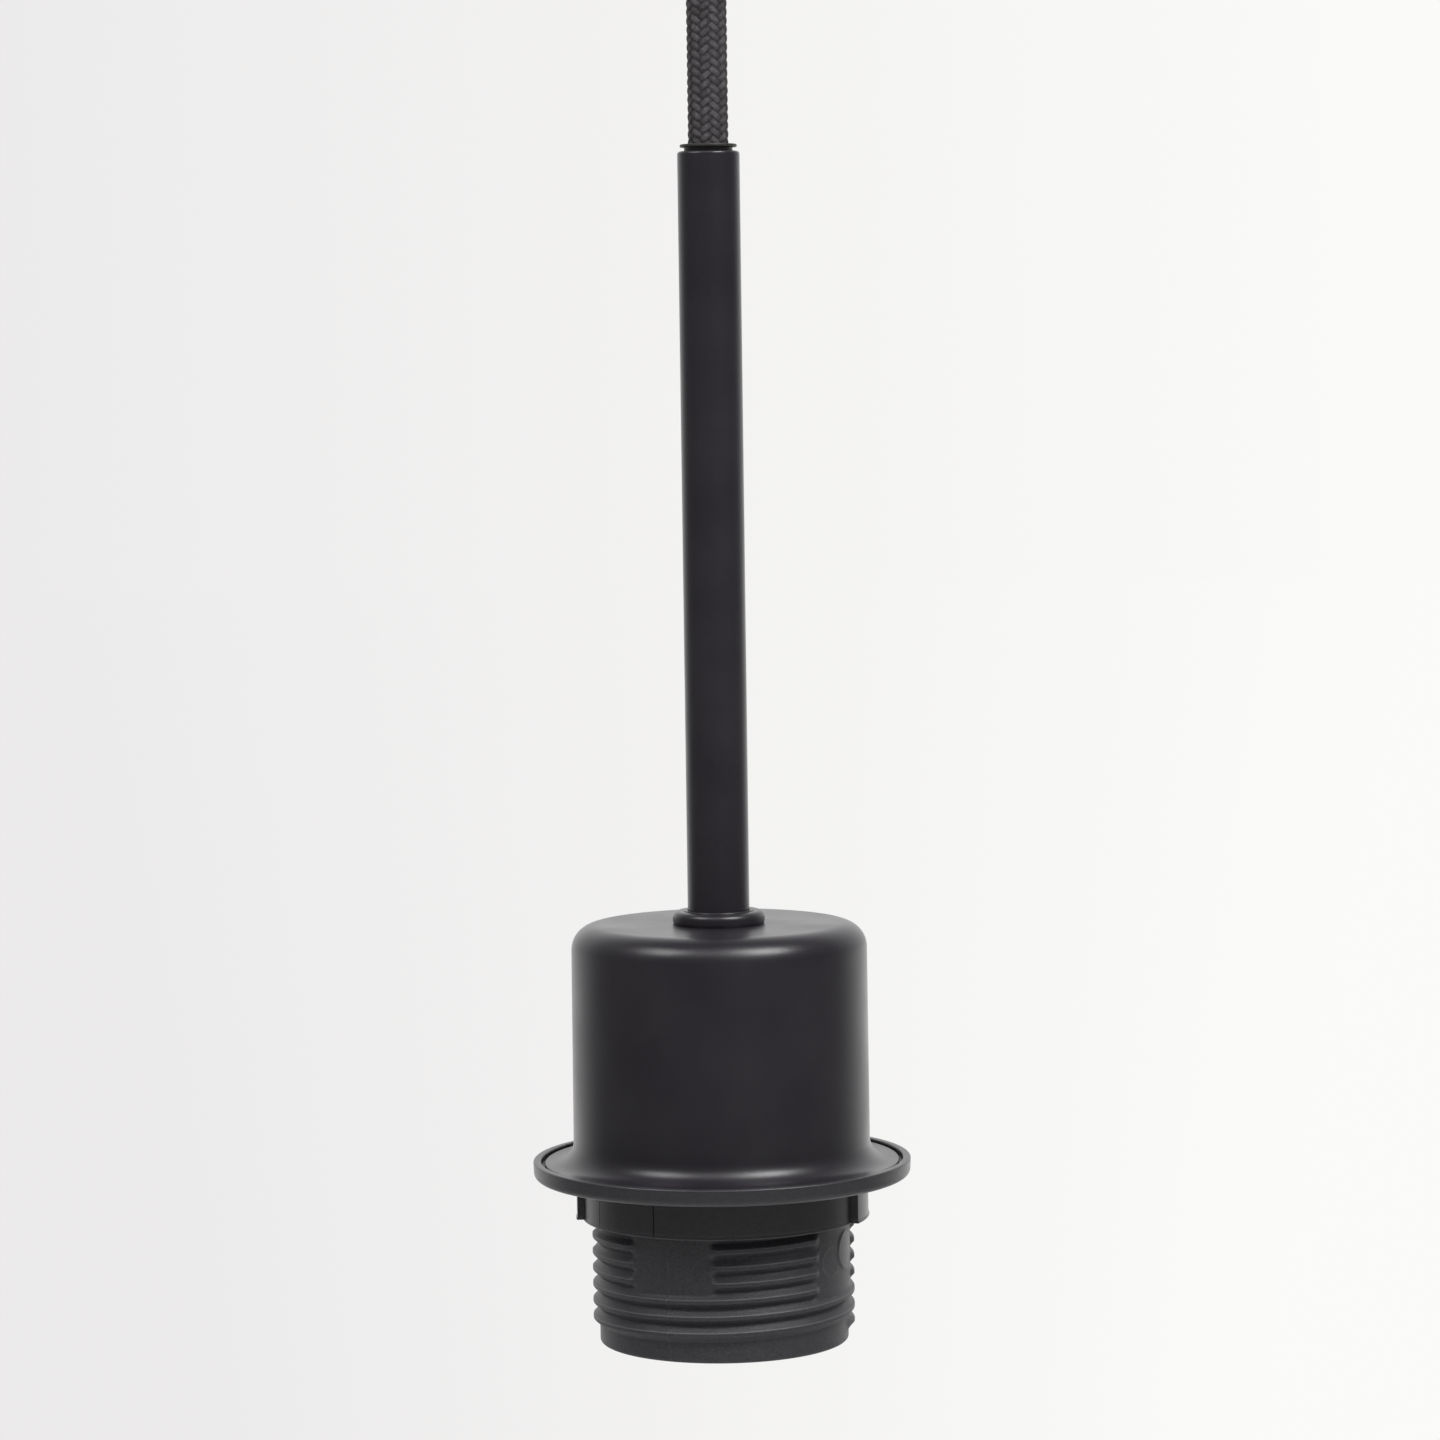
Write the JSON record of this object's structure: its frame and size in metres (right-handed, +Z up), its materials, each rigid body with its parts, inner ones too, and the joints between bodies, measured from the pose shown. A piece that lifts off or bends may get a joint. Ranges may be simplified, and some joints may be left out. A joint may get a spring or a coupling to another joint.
{
  "type": "pendant cord set",
  "caption": "Hanging lamp cord set: ceiling cup, braided cord, thin black stem, drawn metal cover and a threaded lamp holder with a wide screw-on shade ring.",
  "frame": {"origin": "the point on the ceiling plane, on the upper face of the bracket, over the axis of the cord, stem and holder", "axes": "+Z up along the hanging axis, -Y towards the side that the picture shows, +X to its right"},
  "size_m": [0.083, 0.08, 0.2955],
  "materials": {
    "satin_black_paint": "satin powder paint",
    "black_plastic": "fine moulded grain",
    "black_nylon": "smooth",
    "black_braid": "braided textile",
    "zinc_steel": "zinc plated",
    "brass": "plain",
    "nickel": "nickel plated",
    "white_insulator": "plain",
    "brown_core": "plain",
    "blue_core": "plain"
  },
  "bodies": {
    "pendant": {"canopy_cup": "satin_black_paint", "canopy_screw_left": "satin_black_paint", "canopy_screw_right": "satin_black_paint", "stem_tube": "satin_black_paint", "stem_collar": "satin_black_paint", "cup_cover": "satin_black_paint", "cord_grip": "black_plastic", "grip_screw": "black_plastic", "holder_cap": "black_plastic", "threaded_skirt": "black_plastic", "cord_bushing": "black_nylon", "cord": "black_braid", "stem_cord": "black_braid", "canopy_cord": "black_braid", "ceiling_bracket": "zinc_steel", "terminal_block_screw": "zinc_steel", "grip_nut": "zinc_steel", "lock_nut": "zinc_steel", "stem_lock_screw": "zinc_steel", "ceiling_terminal_screw_live": "brass", "ceiling_terminal_screw_neutral": "brass", "terminal_live": "brass", "terminal_neutral": "brass", "centre_contact": "brass", "contact_rivet": "brass", "terminal_screw_live": "nickel", "terminal_screw_neutral": "nickel", "screw_shell": "nickel", "terminal_block": "white_insulator", "contact_base": "white_insulator", "ceiling_wire_live": "brown_core", "holder_wire_live": "brown_core", "ceiling_wire_neutral": "blue_core", "holder_wire_neutral": "blue_core"},
    "ring": {"shade_ring": "black_plastic"}
  },
  "joints": [
    {"name": "ring_travel", "type": "slide", "parent": "pendant", "child": "ring", "axis": [0, 0, -1], "range_m": [0, 0.0225]}
  ]
}
